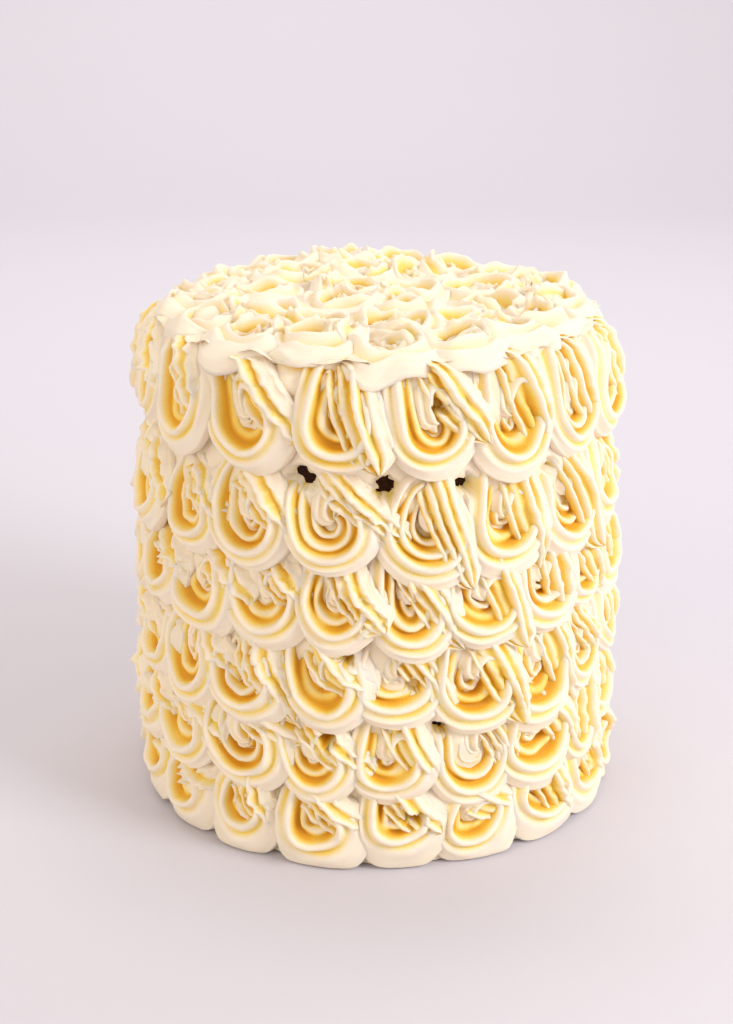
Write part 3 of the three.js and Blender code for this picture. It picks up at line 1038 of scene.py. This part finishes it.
def place_camera(scene):
    camera_data = bpy.data.cameras.new("camera")
    camera_data.sensor_fit = "VERTICAL"
    camera_data.sensor_height = CAMERA_SENSOR
    camera_data.lens = CAMERA_FOCAL / PICTURE_HEIGHT * CAMERA_SENSOR
    camera = bpy.data.objects.new("camera", camera_data)
    camera.location = CAMERA_PLACE
    camera.rotation_euler = (math.radians(90 - CAMERA_DOWN), 0, math.radians(CAMERA_LEFT))
    scene.collection.objects.link(camera)
    scene.camera = camera


def hang_lamp(lamp, scene):
    """Makes a lamp that shines at its target."""
    light = bpy.data.lights.new(lamp.name, "AREA")
    light.size = lamp.size
    light.energy = lamp.power
    light.color = lamp.colour
    hung = bpy.data.objects.new(lamp.name, light)
    hung.location = lamp.place
    away = np.array(lamp.place) - np.array(lamp.target)
    pan = math.atan2(away[0], -away[1])
    tilt = math.acos(away[2] / np.linalg.norm(away))
    hung.rotation_euler = (tilt, 0, pan)
    scene.collection.objects.link(hung)


def lay_floor(colours):
    """The floor with a wall behind it, in one sheet with a round bend between them."""
    bends = [math.radians(step) for step in range(10, 91, 10)]
    profile = [(FLOOR_FRONT, 0.0), (WALL_START, 0.0)]
    profile += [
        (WALL_START + WALL_CURVE * math.sin(bend), WALL_CURVE - WALL_CURVE * math.cos(bend))
        for bend in bends
    ]
    profile.append((WALL_START + WALL_CURVE, WALL_TOP))
    sides = (-FLOOR_HALF_WIDTH, FLOOR_HALF_WIDTH)
    points = np.array([(x, y, z) for y, z in profile for x in sides]) / MM
    faces = [(2 * k, 2 * k + 1, 2 * k + 3, 2 * k + 2) for k in range(len(profile) - 1)]
    floor = new_mesh("floor", points, faces)
    plain, _, _, shader = new_material("floor")
    shader.inputs["Base Color"].default_value = (*colours.floor, 1)
    shader.inputs["Roughness"].default_value = 0.8
    floor.data.materials.append(plain)
    return floor


# --- Operators and panel ---

class CAKE_OT_stage(bpy.types.Operator):
    """Sets the camera, the lights, and the plain floor with the wall behind it"""
    bl_idname = "cake.stage"
    bl_label = "Stage"

    def execute(self, context):
        scene = context.scene
        place_camera(scene)
        floor = lay_floor(scene.cake_colours)
        for lamp in LAMPS:
            hang_lamp(lamp, scene)
        world = bpy.data.worlds.new("studio")
        world.use_nodes = True
        background = world.node_tree.nodes["Background"]
        background.inputs["Color"].default_value = (*WORLD_COLOUR, 1)
        background.inputs["Strength"].default_value = WORLD_STRENGTH
        scene.world = world
        scene.view_settings.view_transform = "Standard"
        return {"FINISHED"}


class CAKE_OT_sponge(bpy.types.Operator):
    """Makes the dark sponge with its open crumb"""
    bl_idname = "cake.sponge"
    bl_label = "Sponge"

    def execute(self, context):
        shape = (SPONGE_ROWS, SPONGE_COLUMNS)
        angle = np.arange(SPONGE_COLUMNS) / SPONGE_COLUMNS * TURN
        height = np.linspace(0, SPONGE_HEIGHT - SPONGE_TOP_GAP, SPONGE_ROWS)[:, None] * np.ones(shape)
        radius = sponge_radius(height, context.scene.cake_sizes)
        chart = round_axis(radius, angle, height)
        rng = np.random.default_rng(CRUMB_SEED)
        crumb = CRUMB_LEVEL + rough(chart, CRUMB_WAVES, rng, CRUMB_WAVE_COUNT)
        radius = radius - np.clip(crumb, 0, CRUMB_DEEPEST) * CRUMB_DEPTH
        points = round_axis(radius, angle, height)
        faces = grid_quads(*shape, 0) + grid_caps(*shape, 0)
        piece = new_mesh("chocolate_sponge", points.reshape(-1, 3), faces)
        piece.data.materials.append(chocolate_crumb(context.scene.cake_colours))
        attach(piece, "root")
        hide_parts("sponge")
        return {"FINISHED"}


class CAKE_OT_icing(bpy.types.Operator):
    """Pipes every ring of rosettes over its plain coat"""
    bl_idname = "cake.icing"
    bl_label = "Rosettes"

    def execute(self, context):
        sizes = context.scene.cake_sizes
        cream = buttercream(context.scene.cake_colours)
        made = [ring_parts(ring, number, sizes) for number, ring in enumerate(RINGS)]
        relief = Relief([points for points, _, _ in made], sizes)
        for ring, (points, faces, sunk) in zip(RINGS, made):
            piece = new_mesh(ring.node.replace("rosettes", "piped"), points, faces)
            store_painted_shade(piece, sunk, relief.painted_shade_depth(points))
            piece.data.materials.append(cream)
            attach(piece, "root")
            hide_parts(ring.node)
        return {"FINISHED"}


STEPS = (CAKE_OT_stage, CAKE_OT_sponge, CAKE_OT_icing)


class CAKE_PT_panel(bpy.types.Panel):
    """Sizes, colours and steps of the cake"""
    bl_label = "Rosette Buttercream Cake"
    bl_space_type = "VIEW_3D"
    bl_region_type = "UI"
    bl_category = "Cake"

    def draw(self, context):
        for settings in (context.scene.cake_sizes, context.scene.cake_colours):
            for name in settings.bl_rna.properties.keys():
                if name not in ("rna_type", "name"):
                    self.layout.prop(settings, name)
        for step in STEPS:
            self.layout.operator(step.bl_idname)


CLASSES = (CakeSizes, CakeColours, *STEPS, CAKE_PT_panel)


def register():
    for each in CLASSES:
        bpy.utils.register_class(each)
    bpy.types.Scene.cake_sizes = bpy.props.PointerProperty(type=CakeSizes)
    bpy.types.Scene.cake_colours = bpy.props.PointerProperty(type=CakeColours)


def unregister():
    del bpy.types.Scene.cake_colours
    del bpy.types.Scene.cake_sizes
    for each in reversed(CLASSES):
        bpy.utils.unregister_class(each)


def main():
    register()
    bpy.ops.cake.stage()
    bpy.ops.cake.sponge()
    bpy.ops.cake.icing()


if __name__ == "__main__":
    main()
